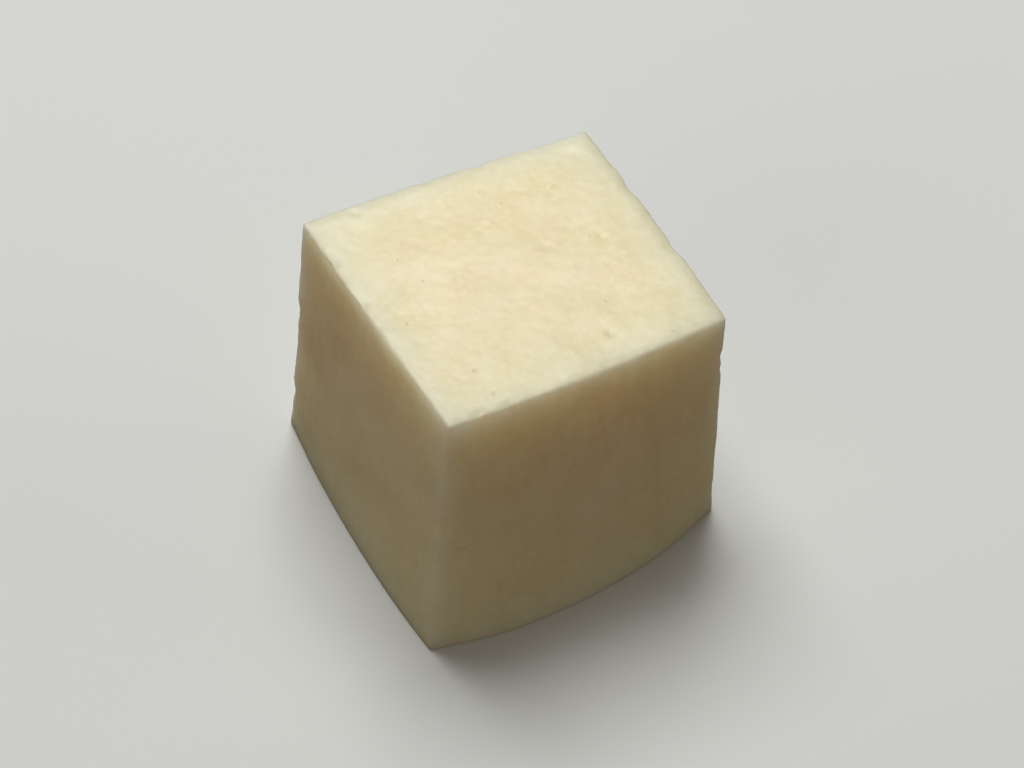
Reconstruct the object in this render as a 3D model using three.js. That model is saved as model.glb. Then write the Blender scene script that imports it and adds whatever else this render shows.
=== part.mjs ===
// One block of soft tofu, cut by hand from a larger slab.
//
// The block is a single solid. Its top is a clean square cut, and its foot is a little wider, because soft
// curd slumps under its own weight: the sides lean outwards, and the front one swells most at the foot.
// The knife leaves the edges slightly rounded, a few crumbs are missing along them, and the faces are
// gently uneven. The underside is flat, and the block rests on it.
//
// Units are millimetres and +Z is up. The origin is the middle of the footprint, on the resting face.
// -Y is the swollen front side and +X its right.

import * as THREE from "three";
import { ImprovedNoise } from "three/addons/math/ImprovedNoise.js";
import { mergeVertices } from "three/addons/utils/BufferGeometryUtils.js";

// --- Driving dimensions ---

// Each upright edge runs from its top corner to its foot corner.
const CORNERS = {
  frontLeft: { top: [-11.6, -11.9, 21.2], foot: [-13.6, -13.2, 0] },
  frontRight: { top: [11.6, -11.1, 20.2], foot: [11.4, -10.8, 0] },
  backRight: { top: [12.2, 10.4, 20.4], foot: [12.9, 11.1, 0] },
  backLeft: { top: [-11.0, 11.2, 20.9], foot: [-11.8, 11.7, 0] },
};

// How far each side swells past the straight line between its corners, along its top edge and its foot.
const SWELL = {
  front: { top: 0.3, foot: 2.45 },
  back: { top: 0.2, foot: 0.8 },
  left: { top: 0.2, foot: 0.7 },
  right: { top: 0.2, foot: 0.7 },
};
const SWELL_FLATNESS = 2.6; // a higher power keeps the swell even and turns it in close to the corners
const SAG = 1.25; // above 1, more of the swell sits low down
const TOP_CROWN = 0.35; // height of the top's middle over its corners

const EDGE = { radius: 0.8, variation: 0.35, span: 5 }; // rounding that wanders by a share along each edge
const FOOT = { radius: 0.55, blend: 2.2 }; // rounding at the resting face, reached over this height

const UNEVENNESS = { depth: 0.14, span: 6.5 }; // slow waves left by the knife
const GRAIN = { depth: 0.05, span: 2.2 }; // finer relief of the curd
const RELIEF_START = 2; // height over which waves and grain come in, so that the resting face stays flat

// Crumbs missing from the edges, the small ones shallower. Places along an edge run from -1 to 1.
const NICKS = { perEdge: 2, first: -0.75, last: 0.7, seed: 20 };
const NICK = { minRadius: 0.8, maxRadius: 1.6, depth: 0.22, shallowest: 0.5 };

const CELLS = 26; // grid cells along each side of the block
const GRID_CROWDING = 0.86; // share of a quarter turn that crowds the grid towards the edges

const TOFU = new THREE.MeshStandardMaterial({ color: 0xeadfbb, roughness: 0.5, metalness: 0 });

// --- Helpers ---

const { lerp, smoothstep } = THREE.MathUtils;
const noise = new ImprovedNoise();
const NOISE_GAIN = 1.4; // brings the noise's usual range up to about -1 to 1
const LAYER_STEP = 31.7; // puts each layer of waves in its own part of the noise

// Smooth waves from about -1 to 1, `span` millimetres long. Each `layer` is another pattern.
function waves(point, span, layer) {
  const shift = LAYER_STEP * layer;
  return NOISE_GAIN * noise.noise(point.x / span + shift, point.y / span - shift, point.z / span);
}

// A seeded draw from 0 to 1, the same on every run: the Park-Miller sequence.
function seededDraw(seed) {
  const multiplier = 16807;
  const modulus = 2 ** 31 - 1;
  let state = seed;
  return () => {
    state = (state * multiplier) % modulus;
    return state / modulus;
  };
}

// --- The form, from straight cuts to slumped curd ---

// A point of the straight-sided block: u, v and w run from -1 to 1 to the right, to the back and up.
function straightBlock(u, v, w) {
  const right = (u + 1) / 2;
  const back = (v + 1) / 2;
  const up = (w + 1) / 2;
  const coordinates = [0, 1, 2].map((axis) => {
    const along = (corner) => lerp(corner.foot[axis], corner.top[axis], up);
    const front = lerp(along(CORNERS.frontLeft), along(CORNERS.frontRight), right);
    const rear = lerp(along(CORNERS.backLeft), along(CORNERS.backRight), right);
    return lerp(front, rear, back);
  });
  return new THREE.Vector3(...coordinates);
}

// How far a side swells at `along` (-1 to 1 between its corners) and `up` (0 at the foot, 1 at the top).
function swellOf(side, along, up) {
  const evenness = 1 - Math.abs(along) ** SWELL_FLATNESS;
  const low = (1 - up) ** SAG;
  return evenness * (side.foot * low + side.top * (1 - low));
}

// Swells the sides and crowns the top. Each side's share fades to nothing at the side across from it.
function slumpedBlock(u, v, w) {
  const point = straightBlock(u, v, w);
  const up = (w + 1) / 2;
  point.y -= (swellOf(SWELL.front, u, up) * (1 - v)) / 2;
  point.y += (swellOf(SWELL.back, u, up) * (1 + v)) / 2;
  point.x -= (swellOf(SWELL.left, v, up) * (1 - u)) / 2;
  point.x += (swellOf(SWELL.right, v, up) * (1 + u)) / 2;
  point.z += TOP_CROWN * up * (1 - u * u) * (1 - v * v);
  return point;
}

// Rounds the edges of the cube that u, v and w span, and returns the rounded u, v and w.
function roundEdges(cube) {
  const half = (CORNERS.frontRight.top[0] - CORNERS.frontLeft.top[0]) / 2;
  const flat = cube.clone().multiplyScalar(half);
  const cut = EDGE.radius * (1 + EDGE.variation * waves(flat, EDGE.span, 1));
  const atFoot = smoothstep(-flat.z, half - FOOT.blend, half - FOOT.radius);
  const radius = lerp(cut, FOOT.radius, atFoot);
  const core = flat.clone().clampScalar(radius - half, half - radius);
  const outward = flat.sub(core);
  return core.add(outward.setLength(radius)).divideScalar(half);
}

// --- What the knife and the handling leave on it ---

// Places where a crumb has come away: a few along every edge above the foot.
function placeNicks() {
  const draw = seededDraw(NICKS.seed);
  const edges = [];
  for (const a of [-1, 1]) {
    edges.push((t) => [t, a, 1], (t) => [a, t, 1]);
    for (const b of [-1, 1]) edges.push((t) => [a, b, t]);
  }
  return edges.flatMap((edge) =>
    Array.from({ length: NICKS.perEdge }, () => {
      const place = lerp(NICKS.first, NICKS.last, draw());
      const size = draw();
      return {
        centre: slumpedBlock(...edge(place)),
        radius: lerp(NICK.minRadius, NICK.maxRadius, size),
        depth: NICK.depth * lerp(NICK.shallowest, 1, size),
      };
    }),
  );
}

// How deep the nicks bite at a point: each is a soft dish, deepest at its centre.
function biteAt(point, nicks) {
  const bites = nicks.map((nick) => {
    const reach = Math.min(1, point.distanceTo(nick.centre) / nick.radius);
    return nick.depth * (1 - reach * reach) ** 2;
  });
  return Math.max(...bites);
}

// The way out of the block: square to each face, turning from one to the next close to their edge.
function wayOut(cube) {
  const turnsLate = (s) => s ** 9;
  return new THREE.Vector3(turnsLate(cube.x), turnsLate(cube.y), turnsLate(cube.z)).normalize();
}

// --- The block: a cube's grid, rounded, stretched between the corners, slumped and roughened ---

function tofuBlock() {
  const cube = new THREE.BoxGeometry(2, 2, 2, CELLS, CELLS, CELLS);
  cube.deleteAttribute("normal");
  cube.deleteAttribute("uv");
  const geometry = mergeVertices(cube);
  const position = geometry.getAttribute("position");
  const turn = (GRID_CROWDING * Math.PI) / 2;
  const crowd = (s) => Math.sin(s * turn) / Math.sin(turn);
  const nicks = placeNicks();

  for (let i = 0; i < position.count; i++) {
    const cell = new THREE.Vector3().fromBufferAttribute(position, i);
    const rounded = roundEdges(new THREE.Vector3(crowd(cell.x), crowd(cell.y), crowd(cell.z)));
    const point = slumpedBlock(rounded.x, rounded.y, rounded.z);
    const knife = UNEVENNESS.depth * waves(point, UNEVENNESS.span, 2);
    const curd = GRAIN.depth * waves(point, GRAIN.span, 3);
    const relief = (knife + curd - biteAt(point, nicks)) * smoothstep(point.z, 0, RELIEF_START);
    point.addScaledVector(wayOut(rounded), relief);
    position.setXYZ(i, point.x, point.y, point.z);
  }

  // The origin goes to the middle of the footprint, on the resting face.
  geometry.computeBoundingBox();
  const { min, max } = geometry.boundingBox;
  geometry.translate(-(min.x + max.x) / 2, -(min.y + max.y) / 2, -min.z);
  geometry.computeVertexNormals();
  return geometry;
}

const block = new THREE.Mesh(tofuBlock(), TOFU);
block.name = "tofu_block";

const tofu = new THREE.Group();
tofu.add(block);

export default tofu;
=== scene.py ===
# %% [markdown]
# # A block of soft tofu
#
# Tofu is soy milk set to a curd and pressed. A slab of it is cut by hand into blocks of about an inch. The
# cut faces are smooth and moist, the edges are a little rounded and here and there a crumb is missing, and
# each block slumps under its own weight, so that its sides lean outwards to a foot wider than the top.
#
# The solid model gives the block's place, size and form. This lesson builds the same form again as a dense
# mesh, and adds what the eye looks for in tofu: softened edges, knife drag, pits, and light that sinks in.

# %% Load the solid model
import math

import bmesh
import bpy
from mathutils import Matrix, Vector, noise
from mathutils.kdtree import KDTree


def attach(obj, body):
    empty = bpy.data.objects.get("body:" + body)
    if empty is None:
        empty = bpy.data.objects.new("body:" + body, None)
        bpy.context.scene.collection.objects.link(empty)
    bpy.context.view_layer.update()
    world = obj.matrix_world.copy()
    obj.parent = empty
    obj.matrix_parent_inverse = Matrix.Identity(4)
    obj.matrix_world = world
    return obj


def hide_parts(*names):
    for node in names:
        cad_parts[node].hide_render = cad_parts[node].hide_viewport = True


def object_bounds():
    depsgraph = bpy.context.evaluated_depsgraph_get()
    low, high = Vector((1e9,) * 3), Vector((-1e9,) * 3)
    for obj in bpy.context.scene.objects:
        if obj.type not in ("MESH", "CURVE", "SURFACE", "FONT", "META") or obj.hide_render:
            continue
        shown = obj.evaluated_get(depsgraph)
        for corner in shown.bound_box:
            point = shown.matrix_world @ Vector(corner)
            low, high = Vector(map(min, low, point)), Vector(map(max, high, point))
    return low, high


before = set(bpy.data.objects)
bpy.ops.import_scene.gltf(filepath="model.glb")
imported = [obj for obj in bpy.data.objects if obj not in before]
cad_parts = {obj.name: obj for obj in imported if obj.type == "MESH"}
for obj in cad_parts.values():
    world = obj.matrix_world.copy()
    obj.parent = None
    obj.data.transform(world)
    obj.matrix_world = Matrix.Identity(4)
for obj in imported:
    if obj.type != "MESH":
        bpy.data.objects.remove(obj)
CAD_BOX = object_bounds()
NODE = "tofu_block"
MM = 0.001  # sizes below are in millimetres, and this turns them into Blender's metres


def in_mm(corners):
    """Corners in metres, as rounded millimetres."""
    return [tuple(round(c / MM, 2) for c in corner) for corner in corners]


print("solid model, lowest and highest corner, mm:", in_mm(CAD_BOX))

# %% [markdown]
# ## The cage
#
# A cage is a coarse mesh that a Subdivision Surface turns into a smooth one. The block could also be
# sculpted, or wrapped round the solid model with a Shrinkwrap. A cage is chosen because its few points can
# be placed at the block's real corners, and what lies between them then stays clean.
#
# It starts as a straight cube that fills the solid model's box. Each side is cut in four, so that there are
# points that can carry the swell. Before anything moves, each point's place in the straight cube is noted as
# an address from -1 to 1: u to the right, v to the back and w up. The address stays when the point is moved.

# %% Helpers: choose one object, or some of its points and edges
def choose(thing):
    """Makes one object the only selected one, and the active one."""
    bpy.ops.object.select_all(action="DESELECT")
    thing.select_set(True)
    bpy.context.view_layer.objects.active = thing


def select_points(thing, wanted):
    """In edit mode, selects the points whose index is in `wanted`, and nothing else."""
    bpy.ops.mesh.select_all(action="DESELECT")
    mesh = bmesh.from_edit_mesh(thing.data)
    mesh.verts.ensure_lookup_table()
    for index in wanted:
        mesh.verts[index].select_set(True)
    mesh.select_flush_mode()
    bmesh.update_edit_mesh(thing.data)


def select_edges(thing, wanted):
    """In edit mode, selects the edges for whose two point indices `wanted` is true."""
    bpy.ops.mesh.select_mode(type="EDGE")
    bpy.ops.mesh.select_all(action="DESELECT")
    mesh = bmesh.from_edit_mesh(thing.data)
    for edge in mesh.edges:
        edge.select_set(wanted(*[v.index for v in edge.verts]))
    mesh.select_flush_mode()
    bmesh.update_edit_mesh(thing.data)


# %% A straight cube, cut into a cage
CUTS = 3  # cuts across each side of the cube

lowest, highest = [Vector(corner) for corner in CAD_BOX]
middle, extent = (lowest + highest) / 2, highest - lowest
bpy.ops.object.select_all(action="DESELECT")
bpy.ops.mesh.primitive_cube_add(size=1, location=middle, scale=extent)
block = bpy.context.object
block.name = block.data.name = "tofu_curd"
bpy.ops.object.transform_apply(location=True, rotation=True, scale=True)
bpy.ops.object.mode_set(mode="EDIT")
bpy.ops.mesh.select_all(action="SELECT")
bpy.ops.mesh.subdivide(number_cuts=CUTS)
bpy.ops.object.mode_set(mode="OBJECT")

# The addresses are rounded, so that all the points of one side share exactly the same number.
address = [
    tuple(round(2 * c / across, 3) for c, across in zip(point.co - middle, extent))
    for point in block.data.vertices
]
print("cage points:", len(address), "cage faces:", len(block.data.polygons))

# %% [markdown]
# ## Straight cuts, then the slump
#
# The knife leaves six nearly flat faces between eight corners, so a point's place in the straight block is
# found by mixing the corners by its address. The slump then pushes each side out, most along its foot. The
# front side swells furthest. A Lattice could pull the cube into shape too, but here every corner and every
# side's swell is a value with a name, which can be set one at a time.

# %% Sizes of the block
CORNERS = {  # (right, back): the top corner and the foot corner of that upright edge
    (-1, -1): (Vector((-11.3, -10.7, 21.2)), Vector((-13.3, -12.0, 0))),
    (1, -1): (Vector((11.9, -9.9, 20.2)), Vector((11.7, -9.6, 0))),
    (1, 1): (Vector((12.5, 11.6, 20.4)), Vector((13.2, 12.3, 0))),
    (-1, 1): (Vector((-10.7, 12.4, 20.9)), Vector((-11.5, 12.9, 0))),
}
SWELL = {  # how far a side bulges past the line between its corners, along its top and along its foot
    "front": (0.4, 2.45),
    "back": (0.2, 0.8),
    "left": (0.08, 0.7),
    "right": (0.2, 0.7),
}
SWELL_FLATNESS = 2.6  # a higher power keeps the bulge even and turns it in close to the corners
SAG = 1.25  # above 1, more of the bulge sits low down
TOP_CROWN = 0.15  # height of the top's middle over its corners

print("the corners of the top stand, mm high:", [round(top.z, 1) for top, _ in CORNERS.values()])

# %% Where each cage point belongs
def mix(a, b, share):
    """What lies between two numbers or places: `a` at a share of 0, and `b` at 1."""
    return a + (b - a) * share


def straight_block(u, v, w):
    """The point with this address in a block with straight cuts between its corners."""
    right, back, up = (u + 1) / 2, (v + 1) / 2, (w + 1) / 2
    edge = {corner: mix(foot, top, up) for corner, (top, foot) in CORNERS.items()}
    front = mix(edge[-1, -1], edge[1, -1], right)
    rear = mix(edge[-1, 1], edge[1, 1], right)
    return mix(front, rear, back)


def swell_of(side_name, along, up):
    """How far a side bulges: `along` runs from -1 to 1 between its corners, `up` from 0 to 1."""
    top, foot = SWELL[side_name]
    low = (1 - up) ** SAG
    return (1 - abs(along) ** SWELL_FLATNESS) * mix(top, foot, low)


def slumped_block(u, v, w):
    """The same point after the curd has slumped, in millimetres."""
    up = (w + 1) / 2
    point = straight_block(u, v, w)
    point.y -= swell_of("front", u, up) * (1 - v) / 2
    point.y += swell_of("back", u, up) * (1 + v) / 2
    point.x -= swell_of("left", v, up) * (1 - u) / 2
    point.x += swell_of("right", v, up) * (1 + u) / 2
    point.z += TOP_CROWN * up * (1 - u * u) * (1 - v * v)
    return point


# %% Pull the cage into shape
OUTER_CUT = 0.58  # where the outer cuts go, nearer the edges than the 0.5 of an even spacing

cage_lines = {-1: -1, -0.5: -OUTER_CUT, 0: 0, 0.5: OUTER_CUT, 1: 1}  # even cuts, and where they go
choose(block)
bpy.ops.object.mode_set(mode="EDIT")
for index, place in enumerate(address):
    select_points(block, [index])
    here = bmesh.from_edit_mesh(block.data).verts[index].co
    there = slumped_block(*[cage_lines[c] for c in place]) * MM
    bpy.ops.transform.translate(value=there - here)
bpy.ops.object.mode_set(mode="OBJECT")
print("the cage spans, mm:", [round(d / MM, 2) for d in block.dimensions])

# %% [markdown]
# ## Twelve creases and a smooth surface
#
# A Subdivision Surface rounds everything that isn't creased. The twelve cut edges are creased fully, so the
# faces between them stay as flat as the knife left them. More cuts close beside each edge would hold it as
# well, but then the cage would have more points to place. The eight edges above the foot are also marked as
# seams. Both marks survive the subdivision, and the next steps find the edges by them.

# %% Crease the cut edges, and mark those above the foot
def on_cut_edge(a, b):
    """True if the cage edge between two points lies on one of the block's twelve edges."""
    shared = [p == q and abs(p) == 1 for p, q in zip(address[a], address[b])]
    return sum(shared) == 2


def on_upper_edge(a, b):
    """True if the cage edge between two points lies on one of the eight edges above the foot."""
    is_foot = address[a][2] == address[b][2] == -1
    return on_cut_edge(a, b) and not is_foot


bpy.ops.object.mode_set(mode="EDIT")
select_edges(block, on_cut_edge)
bpy.ops.transform.edge_crease(value=1)
select_edges(block, on_upper_edge)
bpy.ops.mesh.mark_seam(clear=False)
bpy.ops.mesh.select_mode(type="VERT")
bpy.ops.object.mode_set(mode="OBJECT")
print("cage edges on the upper cuts:", sum(e.use_seam for e in block.data.edges))

# %% Subdivide
LEVELS = 5  # each level cuts every face in four, so 96 faces become 98,304


def finish_with(thing, kind, **settings):
    """Adds a modifier, sets it up and applies it."""
    choose(thing)
    bpy.ops.object.modifier_add(type=kind)
    modifier = thing.modifiers[-1]
    for name, value in settings.items():
        setattr(modifier, name, value)
    bpy.ops.object.modifier_apply(modifier=modifier.name)


finish_with(block, "SUBSURF", levels=LEVELS, render_levels=LEVELS)
bpy.ops.object.shade_smooth()
print("points:", len(block.data.vertices), "faces:", len(block.data.polygons))

# %% [markdown]
# ## Zones to paint on
#
# Softening, crumbs and relief each act on their own part of the block. A vertex group says how much, as a
# painter's brush does. Here the brush is a rule: the distance from the cut edges, or the height over the
# foot. A rule can be measured and repeated, which a hand-painted weight can't.

# %% Helpers: measure distances and paint zones
def smoothstep(value, low, high):
    """0 up to `low`, 1 from `high`, and a smooth turn between them."""
    share = min(1, max(0, (value - low) / (high - low)))
    return share * share * (3 - 2 * share)


def distance_to_edges(thing, wanted):
    """A function that gives the distance, in mm, from a place to the edges for which `wanted` is true."""
    picked = {i for e in thing.data.edges if wanted(e) for i in e.vertices}
    tree = KDTree(len(picked))
    for i in picked:
        tree.insert(thing.data.vertices[i].co, i)
    tree.balance()
    return lambda place: tree.find(place)[2] / MM


def paint(thing, name, weight_at):
    """Makes a vertex group with the weight that `weight_at` gives for each point's place."""
    group = thing.vertex_groups.new(name=name)
    weights = [weight_at(v.co) for v in thing.data.vertices]
    for index, weight in enumerate(weights):
        if weight > 0:
            group.add([index], weight, "REPLACE")
    print(name, "is painted on", sum(w > 0 for w in weights), "points")


# %% The edges to measure from
CREASED = 0.5  # more crease than this marks a cut edge

creases = block.data.attributes["crease_edge"].data
to_cut_edge = distance_to_edges(block, lambda e: creases[e.index].value > CREASED)
to_upper_edge = distance_to_edges(block, lambda e: e.use_seam)


def is_upright(edge):
    """True on the four edges that run from the top down to the foot."""
    a, b = [block.data.vertices[i].co for i in edge.vertices]
    return edge.use_seam and abs(a.z - b.z) > (a - b).length / 2


to_upright_edge = distance_to_edges(block, is_upright)
print("from the middle of the block to its nearest cut edge, mm:", round(to_cut_edge(middle), 1))

# %% Paint the zones
SOFT_ZONE = 3.0  # how far from a cut edge the softening reaches
EDGE_WANDER = 4.5  # length of one swing of the softening along an edge
USUAL_SOFTNESS, SOFTNESS_SWING = 0.75, 0.5  # its strength on average, and how far it strays from that
CRUMB_ZONE = 1.1  # how far from an edge above the foot the crumbs reach
RELIEF_HEIGHTS = (0.3, 2.2)  # the relief comes in between these heights, so that the foot stays flat


def softness(place):
    """Strongest at the cut edges, in some places more than in others, and 0 beyond the zone."""
    wander = USUAL_SOFTNESS + SOFTNESS_SWING * noise.noise(place / (EDGE_WANDER * MM))
    return min(1, wander) * (1 - smoothstep(to_cut_edge(place), 0, SOFT_ZONE))


def above_foot(place):
    """0 on the resting face, and 1 a little above it."""
    return smoothstep(place.z / MM, *RELIEF_HEIGHTS)


def crumbling(place):
    """1 at the edges above the foot, and 0 beyond the zone."""
    return (1 - smoothstep(to_upper_edge(place), 0, CRUMB_ZONE)) * above_foot(place)


paint(block, "softness", softness)
paint(block, "above_foot", above_foot)
paint(block, "crumbling", crumbling)

# %% [markdown]
# ## Soften the cut edges
#
# Soft curd doesn't keep a razor edge: the knife leaves it rounded over about half a millimetre, more in some
# places than in others. A bevel would give it one even width. The Smooth modifier lets neighbouring points
# relax towards each other instead, and the painted zone says where and how much.

# %% Soften the edges
SOFTENING = 20  # passes of smoothing: more give a rounder edge
RELAXING = 0.5  # how far one pass moves a point towards the middle of its neighbours

finish_with(block, "SMOOTH", factor=RELAXING, iterations=SOFTENING, vertex_group="softness")
print("with softened edges the block spans, mm:", [round(d / MM, 2) for d in block.dimensions])

# %% [markdown]
# ## Relief of the cut faces
#
# A blade that is pushed through curd wavers a little, which leaves slow waves, and it drags, which leaves
# faint upright lines on the sides. Between them the curd shows its own fine grain, and a few shallow dimples
# where bubbles were cut open. Sculpting all this by hand would never be even. Each is a Displace modifier
# instead, with a procedural texture whose features have the real size.

# %% Helpers: relief from a texture
PLAIN, ROUGH = 1, 2  # how many finer layers lie on top of a texture's noise


def relief_texture(name, kind, span, **settings):
    """A procedural texture with features `span` millimetres wide."""
    texture = bpy.data.textures.new(name, type=kind)
    texture.noise_scale = span * MM
    for key, value in settings.items():
        setattr(texture, key, value)
    return texture


def roughen(thing, texture, depth, zone, middle=0.5, **settings):
    """Moves the surface where `zone` is painted, over `depth` millimetres from lowest to highest.

    With `middle` at 0.5 it moves in and out by the same amount, and at 1 it only moves in.
    """
    settings |= {"texture": texture, "strength": depth * MM, "mid_level": middle, "vertex_group": zone}
    finish_with(thing, "DISPLACE", **settings)
    print(texture.name, "moved the surface over", depth, "mm")


# %% Slow waves of the knife
WAVE_SPAN, WAVE_DEPTH = 6.5, 0.28  # how wide one wave is, and how deep from crest to trough

waves = relief_texture("knife waves", "CLOUDS", WAVE_SPAN, noise_depth=PLAIN)
roughen(block, waves, WAVE_DEPTH, "above_foot")

# %% Drag lines
# The texture is read through an Empty that is stretched upwards, so that its clouds become upright lines.
DRAG_SPAN, DRAG_DEPTH = 0.9, 0.045
DRAG_STRETCH = 14  # how many times longer than wide the lines are

bpy.ops.object.select_all(action="DESELECT")
bpy.ops.object.empty_add(location=(0, 0, 0))
stretcher = bpy.context.object
stretcher.scale = (1, 1, DRAG_STRETCH)
bpy.context.view_layer.update()
drag = relief_texture("drag lines", "CLOUDS", DRAG_SPAN, noise_depth=PLAIN)
roughen(block, drag, DRAG_DEPTH, "above_foot", texture_coords="OBJECT", texture_coords_object=stretcher)
bpy.data.objects.remove(stretcher)

# %% Grain of the curd, and dimples
GRAIN_SPAN, GRAIN_DEPTH = 1.3, 0.018
DIMPLE_SPACING, DIMPLE_DEPTH = 5.0, 0.11
DIMPLE_RADIUS = 0.13  # of the widest, as a share of the spacing

grain = relief_texture("curd grain", "CLOUDS", GRAIN_SPAN, noise_depth=ROUGH)
roughen(block, grain, GRAIN_DEPTH, "above_foot")

dimples = relief_texture("dimples", "VORONOI", DIMPLE_SPACING, use_color_ramp=True)
dimples.color_ramp.interpolation = "EASE"
dimples.color_ramp.elements[0].color = (0, 0, 0, 1)
dimples.color_ramp.elements[1].position = DIMPLE_RADIUS
roughen(block, dimples, DIMPLE_DEPTH, "above_foot", middle=1)

# %% [markdown]
# ## Crumbs missing from the edges
#
# Handling breaks crumbs off the edges. Most are too small to see one by one and leave the edge slightly
# ragged, which one more Displace gives: it only bites inwards. A few are larger nicks, two to each edge
# above the foot, each a shallow dish with a rough floor. A Boolean could cut them out, but it would leave
# hard rims in soft curd. So they are painted into a zone of their own, and the surface is pushed in there.

# %% Ragged edges
RAGGED_SPAN, RAGGED_DEPTH = 0.8, 0.12
WEARING = 4  # passes of smoothing that take the sharpness off the crumbs

ragged = relief_texture("ragged edges", "CLOUDS", RAGGED_SPAN, noise_depth=ROUGH, noise_type="HARD_NOISE")
roughen(block, ragged, RAGGED_DEPTH, "crumbling", middle=1)
finish_with(block, "SMOOTH", factor=RELAXING, iterations=WEARING, vertex_group="crumbling")

# %% Where the nicks are
NICKS_PER_EDGE = 2
FIRST_NICK, LAST_NICK = -0.75, 0.7  # places along an edge, which runs from -1 to 1
NICK_RADII = (0.8, 1.6)  # of the smallest and the widest
NICK_DEPTH = 0.2  # of the widest nick
SHALLOWEST = 0.5  # depth of the smallest nick, as a share of that
NICK_SEED = 20
MULTIPLIER, MODULUS = 16807, 2**31 - 1  # of the Park-Miller sequence


def seeded_draw(seed):
    """Draws from 0 to 1, the same on every run."""
    state = seed
    while True:
        state = state * MULTIPLIER % MODULUS
        yield state / MODULUS


def upper_edges():
    """For each edge above the foot, a function that turns a place along it into an address."""
    for a in (-1, 1):
        yield lambda t: (t, a, 1)
        yield lambda t: (a, t, 1)
        for b in (-1, 1):
            yield lambda t: (a, b, t)


draw = seeded_draw(NICK_SEED)
nicks = []
for edge in upper_edges():
    for _ in range(NICKS_PER_EDGE):
        along = mix(FIRST_NICK, LAST_NICK, next(draw))
        size = next(draw)
        nicks.append((slumped_block(*edge(along)) * MM, mix(*NICK_RADII, size), mix(SHALLOWEST, 1, size)))
print("nicks:", len(nicks), "widest, mm:", round(2 * max(radius for _, radius, _ in nicks), 2))

# %% Bite the nicks
NICK_GRAIN = 0.5  # span of the lumps on a nick's floor
NICK_ROUGHNESS = 0.35  # and how high they are, as a share of the nick's depth


def nicked(place):
    """How deep the nicks bite here, as a share of the deepest."""
    bite = 0
    for centre, radius, depth in nicks:
        reach = (place - centre).length / MM / radius
        if reach < 1:
            bite = max(bite, depth * (1 - reach * reach) ** 2)
    lumps = 1 + NICK_ROUGHNESS * noise.noise(place / (NICK_GRAIN * MM))
    return min(1, bite * lumps) * above_foot(place)


paint(block, "nicked", nicked)
finish_with(block, "DISPLACE", strength=-NICK_DEPTH * MM, mid_level=0, vertex_group="nicked")

# %% [markdown]
# ## What the finish can follow
#
# Light is painted on the rim of the top, which is paler than its middle, so that the top stays as bright as
# the light makes it right up to its edge. A paler band along the upright edges is painted light as well: it
# stands for light that goes right through them. Under the rim the sides keep their warm tone. A node can
# find sharp places by itself, but it would take every nick and dimple for an edge, so an attribute on the
# points says where the painted rims are. The marks and zones have done their work and are cleared, so that
# only the block itself is left.

# %% Tell the finish where light is painted on the rims
# painted light: the top is paler near its edges, and the sides near the upright edges, in place of light
TOP_RIM = 4.0  # how far in from its edges the top is paler
UPRIGHT_RIM = 1.8  # how far from an upright edge the sides are paler
SIDE_TO_TOP = (0.3, 0.9)  # heights of the normal between which a side turns into the top


def rim_light_share(point):
    """How much light is painted here: 1 at the top's edges and the upright edges, and 0 beyond their rims.
    """
    on_top = smoothstep(point.normal.z, *SIDE_TO_TOP) * (1 - smoothstep(to_cut_edge(point.co), 0, TOP_RIM))
    on_sides = 1 - smoothstep(to_upright_edge(point.co), 0, UPRIGHT_RIM)
    return max(on_top, on_sides)


rim = [rim_light_share(point) for point in block.data.vertices]
attribute = block.data.attributes.new(name="rim", type="FLOAT", domain="POINT")
attribute.data.foreach_set("value", rim)
print("points in the paler rims:", sum(share > 0 for share in rim))

# %% Clear the marks and zones
choose(block)
bpy.ops.object.vertex_group_remove(all=True)
bpy.ops.object.mode_set(mode="EDIT")
bpy.ops.mesh.select_all(action="SELECT")
bpy.ops.mesh.mark_seam(clear=True)
bpy.ops.transform.edge_crease(value=-1)
bpy.ops.object.mode_set(mode="OBJECT")
print("zones left:", len(block.vertex_groups), "and seams left:", sum(e.use_seam for e in block.data.edges))

# %% [markdown]
# ## The finish: pale, mottled curd
#
# Tofu is a warm cream, and never one even colour: it is mottled over a few millimetres, flecked with paler
# grains of curd, and streaked where whey was drawn along the cut. An image of real tofu could be wrapped on,
# but it would stretch and show seams. Noise on Object coordinates, with spans in millimetres, runs right
# through the block, so every side matches its neighbours.

# %% Helpers: shader nodes
def add_node(tree, kind, **values):
    """Adds a shader node and sets its inputs by name, with _ for each space."""
    made = tree.nodes.new("ShaderNode" + kind)
    for name, value in values.items():
        made.inputs[name.replace("_", " ")].default_value = value
    return made


def between(tree, value, reads, gives):
    """Turns the range `reads` of a value into the range `gives`, and holds it there."""
    made = add_node(tree, "MapRange", From_Min=reads[0], From_Max=reads[1], To_Min=gives[0], To_Max=gives[1])
    tree.links.new(value, made.inputs["Value"])
    return made.outputs["Result"]


def calculated(tree, operation, a, b):
    """What a Math node makes of two other nodes' outputs."""
    made = add_node(tree, "Math")
    made.operation = operation
    tree.links.new(a, made.inputs[0])
    tree.links.new(b, made.inputs[1])
    return made.outputs["Value"]


def mix_colours(tree, share, low, high):
    """Mixes two colours by `share`. Each is a fixed colour or another node's output."""
    made = add_node(tree, "Mix")
    made.data_type = "RGBA"
    sockets = {s.identifier: s for s in made.inputs}
    tree.links.new(share, sockets["Factor_Float"])
    for name, colour in (("A_Color", low), ("B_Color", high)):
        if isinstance(colour, tuple):
            sockets[name].default_value = (*colour, 1)
        else:
            tree.links.new(colour, sockets[name])
    return next(s for s in made.outputs if s.identifier == "Result_Color")


# %% Start the finish
tofu = bpy.data.materials.new("tofu")
tofu.use_nodes = True
tree = tofu.node_tree
shader = tree.nodes["Principled BSDF"]
coordinates = add_node(tree, "TexCoord").outputs["Object"]


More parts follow.
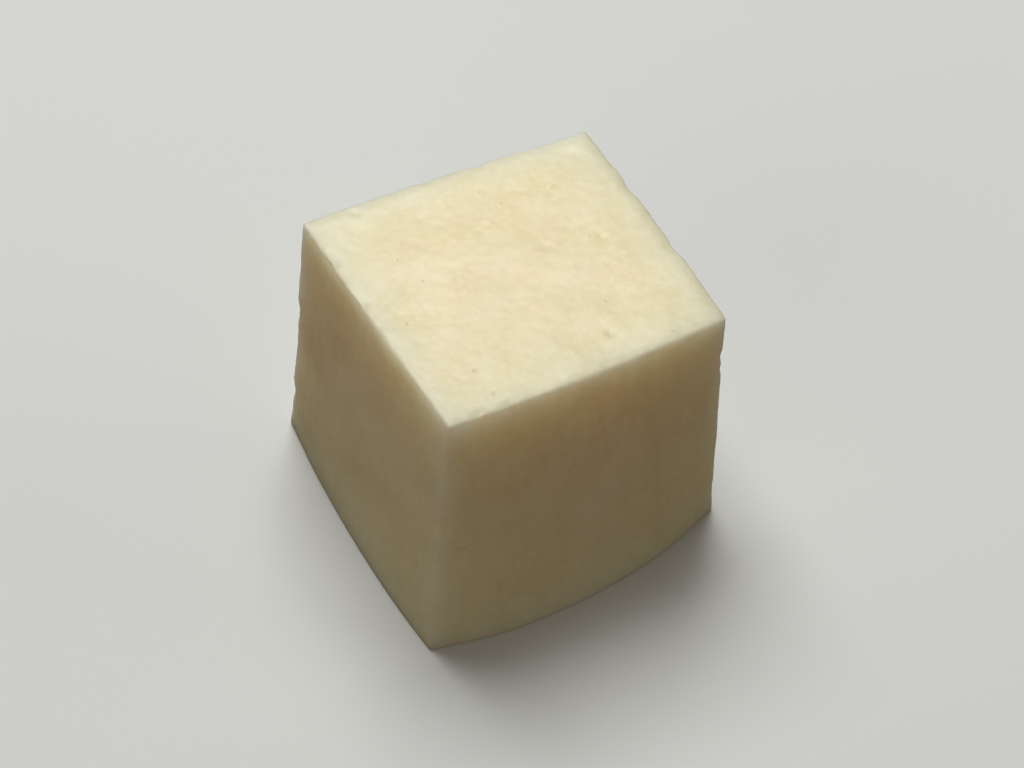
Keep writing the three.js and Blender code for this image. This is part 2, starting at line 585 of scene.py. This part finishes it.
def curd_noise(span, at=coordinates, detail=2, roughness=0.5):
    """Noise with features `span` millimetres wide, read at the places `at`.

    `detail` is the number of finer layers on top of it, and `roughness` is how strong they are.
    """
    made = add_node(tree, "TexNoise", Scale=1 / (span * MM), Detail=detail, Roughness=roughness)
    tree.links.new(at, made.inputs["Vector"])
    return made.outputs["Fac"]


print("the finish starts with the nodes:", [node.name for node in tree.nodes])

# %% Mottling and flecks
CREAM = (0.84, 0.75, 0.48)  # red, green and blue, each from 0 to 1
PALE_CURD = (0.87, 0.795, 0.56)
CURD_FLECK = (0.90, 0.82, 0.59)
MOTTLING_SPAN, FLECK_SPAN = 3.6, 0.6
COMMON_NOISE = (0.35, 0.65)  # most of a noise lies between these values
FLECK_NOISE = (0.45, 0.7)  # no fleck below the first value, and a full one from the second
GRAINY = {"detail": 4, "roughness": 0.6}  # noise with strong fine layers

mottling = between(tree, curd_noise(MOTTLING_SPAN, detail=3), COMMON_NOISE, (0, 1))
flecks = between(tree, curd_noise(FLECK_SPAN, **GRAINY), FLECK_NOISE, (0, 1))
colour = mix_colours(tree, mottling, CREAM, PALE_CURD)
colour = mix_colours(tree, flecks, colour, CURD_FLECK)
print("mottled over", MOTTLING_SPAN, "mm, with flecks of", FLECK_SPAN, "mm")

# %% Streaks of whey on the sides
WHEY = (0.79, 0.68, 0.42)
STREAK_SPAN, STREAK_STRETCH = 0.8, 9  # width, and how many times longer than that they are
STREAK_NOISE = (0.5, 0.75)  # no streak below the first value, and a full one from the second
STREAK_SHARE = 0.36  # how far a full streak takes on the colour of whey

upright = add_node(tree, "Mapping", Scale=(1, 1, 1 / STREAK_STRETCH))
tree.links.new(coordinates, upright.inputs["Vector"])
streaks = curd_noise(STREAK_SPAN, at=upright.outputs["Vector"], detail=3, roughness=0.6)
colour = mix_colours(tree, between(tree, streaks, STREAK_NOISE, (0, STREAK_SHARE)), colour, WHEY)
print("streaks of", STREAK_SPAN, "by", round(STREAK_SPAN * STREAK_STRETCH, 1), "mm")

# %% Painted light on the rims
# painted light: the pale colour that the rims take on, standing in for light at the edges
PAINTED_RIM_LIGHT = (0.95, 0.875, 0.635)
RIM_SHARE = 0.62  # how far the palest rim takes on that colour
RIM_WANDER = 4.5  # length of one swing between a pale stretch of rim and a faint one
WANDER_NOISE = (0.38, 0.62)  # faintest up to the first value, and palest from the second
RIM_FAINTEST = 0.3  # what is left of the paleness where it is faintest

rims = add_node(tree, "Attribute")
rims.attribute_name = "rim"
wander = between(tree, curd_noise(RIM_WANDER), WANDER_NOISE, (RIM_FAINTEST, 1))
paler = calculated(tree, "MULTIPLY", rims.outputs["Fac"], wander)
# paint the light on the rims
colour = mix_colours(tree, between(tree, paler, (0, 1), (0, RIM_SHARE)), colour, PAINTED_RIM_LIGHT)
print("share of the paler colour, faintest and palest:", round(RIM_SHARE * RIM_FAINTEST, 2), RIM_SHARE)

# %% [markdown]
# ## Pits, grain and water
#
# Small bubbles leave pits about half a millimetre wide at most, too small for the mesh, so they are bump
# and a little painted shade. A Voronoi texture scatters points through the block. Each gets its own radius,
# drawn from its cell's colour, so that no two pits are alike.
#
# The curd's grain is bump as well. Water lies on it in patches: where the film is thick it fills the grain
# and shines more, so one noise rules both the roughness and how far the grain shows.

# %% Pits
PIT_SPACING = 2.2
PIT_RADII = (0.02, 0.12)  # narrowest and widest, as a share of the spacing
PIT_FLOOR = 0.4  # share of a pit's radius that is its flat floor
# painted shade: the pits are darkened where shade would fall in them
PAINTED_PIT_SHADE, SHADE_SHARE = (0.70, 0.58, 0.34), 0.35  # its shade, and how far a pit takes that on

bubbles = add_node(tree, "TexVoronoi", Scale=1 / (PIT_SPACING * MM))
tree.links.new(coordinates, bubbles.inputs["Vector"])
radius = between(tree, bubbles.outputs["Color"], (0, 1), PIT_RADII)
from_centre = calculated(tree, "DIVIDE", bubbles.outputs["Distance"], radius)
pits = between(tree, from_centre, (PIT_FLOOR, 1), (1, 0))
# paint the shade in the pits
colour = mix_colours(tree, between(tree, pits, (0, 1), (0, SHADE_SHARE)), colour, PAINTED_PIT_SHADE)
tree.links.new(colour, shader.inputs["Base Color"])
print("the widest pits are, mm:", round(2 * PIT_RADII[1] * PIT_SPACING, 1))

# %% Water, grain and bump
WATER_SPAN = 2.8
WET, DAMP = 0.34, 0.5  # roughness under the film of water, and beside it
FILLED = 0.35  # how far the grain still shows under the water
FINE_SPAN, FINE_DEPTH = 0.45, 0.015  # of the grain
PIT_DEPTH = 0.08


def bumped(depth, height, under=None):
    """Bump of about `depth` millimetres, on top of the bump `under`."""
    made = add_node(tree, "Bump", Strength=1, Distance=depth * MM)
    tree.links.new(height, made.inputs["Height"])
    if under is not None:
        tree.links.new(under, made.inputs["Normal"])
    return made.outputs["Normal"]


water = curd_noise(WATER_SPAN)
tree.links.new(between(tree, water, COMMON_NOISE, (WET, DAMP)), shader.inputs["Roughness"])
shown = between(tree, water, COMMON_NOISE, (FILLED, 1))
fine_grain = calculated(tree, "MULTIPLY", curd_noise(FINE_SPAN, **GRAINY), shown)
surface = bumped(FINE_DEPTH, fine_grain)
surface = bumped(PIT_DEPTH, between(tree, pits, (0, 1), (1, 0)), under=surface)
tree.links.new(surface, shader.inputs["Normal"])
print("roughness under the water and beside it:", WET, DAMP)

# %% [markdown]
# ## Light that sinks in
#
# Light goes millimetres deep into tofu and comes out beside where it went in. It is why the lit top glows
# over its edge into the shaded sides, and why no form on it looks hard. Paint alone would look like plaster.
# The Principled shader's Subsurface does this. Red travels furthest, so the glow is warm. A fifth of the
# light is left at the surface, which keeps the fine relief in sight.

# %% Light that sinks in
SINKS_IN = 0.8  # share of the light that does
LIGHT_DEPTH = 8.5  # how far red light travels, in mm
LIGHT_TRAVEL = (1.0, 0.77, 0.80)  # how far red, green and blue travel, as a share of that
CURD_IOR = 1.36  # how strongly moist curd bends light, a little more than water does
WATER_FILM, FILM_ROUGHNESS = 0.15, 0.25  # the gloss of the water's surface, and how rough that is

shader.inputs["Subsurface Weight"].default_value = SINKS_IN
shader.inputs["Subsurface Radius"].default_value = LIGHT_TRAVEL
shader.inputs["Subsurface Scale"].default_value = LIGHT_DEPTH * MM
shader.inputs["IOR"].default_value = CURD_IOR
shader.inputs["Coat Weight"].default_value = WATER_FILM
shader.inputs["Coat Roughness"].default_value = FILM_ROUGHNESS

block.data.materials.append(tofu)
print("nodes in the finish:", len(tree.nodes))

# %% Hand the block over: it moves with the body, and stands for the solid
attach(block, "root")
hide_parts(NODE)
print(block.name, "stands for", NODE)

# %% [markdown]
# ## Floor
#
# The floor is a plain pale sheet, far larger than the view, so that no edge or horizon shows. A pale floor
# throws white light up into the sides and takes away the shade that shows their form. So it receives light
# and shadow, and the block doesn't receive its glare.

# %% Floor
FLOOR_SIZE = 3  # metres
FLOOR_COLOUR = (0.70, 0.725, 0.745, 1)
FLOOR_ROUGHNESS = 0.7

bpy.ops.object.select_all(action="DESELECT")
bpy.ops.mesh.primitive_plane_add(size=FLOOR_SIZE)
floor = bpy.context.object
floor.name = "floor"
floor_finish = bpy.data.materials.new("floor")
floor_finish.use_nodes = True
floor_shader = floor_finish.node_tree.nodes["Principled BSDF"]
floor_shader.inputs["Base Color"].default_value = FLOOR_COLOUR
floor_shader.inputs["Roughness"].default_value = FLOOR_ROUGHNESS
floor.data.materials.append(floor_finish)
floor.visible_diffuse = False
floor.visible_glossy = False
print("the floor is", FLOOR_SIZE, "m wide")

# %% [markdown]
# ## Light
#
# One broad light stands high behind the block, like a window across the table. The top is bright and the two
# near sides are in soft shade, which shows the form best. A Sun would light the block as well, but its hard
# shadows would make soft curd look like stone. Shade is never black: a dim warm card stands low on the left
# and another on the right, and the surroundings glow dimly, warm from below, as over a dish, and nearly
# neutral from above. Light from the cards sinks in at the sides and comes out at the upright edges, which
# glow, and the paler band painted along them adds to that glow.

# %% Window and cards
LIGHT_DISTANCE = 0.8  # metres from the block


def softbox(name, azimuth, elevation, width, power, colour):
    """A square light of `power` watts, `width` metres wide, that faces the block.

    Azimuth 0 is in front of the block, 90 to its right and 180 behind it.
    """
    turn, rise = math.radians(azimuth), math.radians(elevation)
    level = Vector((math.sin(turn), -math.cos(turn), 0)) * math.cos(rise)
    place = (level + Vector((0, 0, math.sin(rise)))) * LIGHT_DISTANCE
    aim = (-place).to_track_quat("-Z", "Y").to_euler()
    bpy.ops.object.light_add(type="AREA", location=place, rotation=aim)
    light = bpy.context.object
    light.name = name
    light.data.size = width
    light.data.energy = power
    light.data.color = colour
    print(name, "stands at, m:", [round(c, 2) for c in place])


softbox("window", azimuth=164, elevation=62, width=0.5, power=5.75, colour=(1, 0.98, 0.93))
softbox("left card", azimuth=292, elevation=22, width=0.6, power=0.96, colour=(1, 0.89, 0.72))
softbox("right card", azimuth=62, elevation=15, width=0.6, power=0.9, colour=(1, 0.89, 0.73))

# %% Surroundings
FROM_ABOVE = (0.066, 0.063, 0.057)
FROM_BELOW = (0.095, 0.076, 0.049)
HORIZON = (-0.1, 0.1)  # heights between which one turns into the other

surroundings = bpy.data.worlds.new("surroundings")
bpy.context.scene.world = surroundings
surroundings.use_nodes = True
sky = surroundings.node_tree
direction = add_node(sky, "TexCoord").outputs["Generated"]
parts = add_node(sky, "SeparateXYZ")
sky.links.new(direction, parts.inputs["Vector"])
upwards = between(sky, parts.outputs["Z"], HORIZON, (0, 1))
sky.links.new(mix_colours(sky, upwards, FROM_BELOW, FROM_ABOVE), sky.nodes["Background"].inputs["Color"])
bpy.context.scene.view_settings.view_transform = "Standard"
print("nodes in the surroundings:", len(sky.nodes))

# %% [markdown]
# ## Camera
#
# The camera looks down at about 46 degrees from the front left, so that the top and two sides show. It
# stands half a metre away with a long lens. A short lens close by would make the near corner too large.

# %% Camera
CAMERA_PLACE = Vector((-164.0, -282.2, 349.6)) * MM
CAMERA_TARGET = Vector((0, 0, 10.2)) * MM
CAMERA_ROLL = math.radians(1.4)
LENS = 228  # focal length, in mm

bpy.ops.object.camera_add(location=CAMERA_PLACE)
camera = bpy.context.object
camera.rotation_euler = (CAMERA_TARGET - CAMERA_PLACE).to_track_quat("-Z", "Y").to_euler()
camera.rotation_euler.rotate_axis("Z", CAMERA_ROLL)
camera.data.lens = LENS
bpy.context.scene.camera = camera
print("the camera stands", round((CAMERA_TARGET - CAMERA_PLACE).length, 3), "m away")
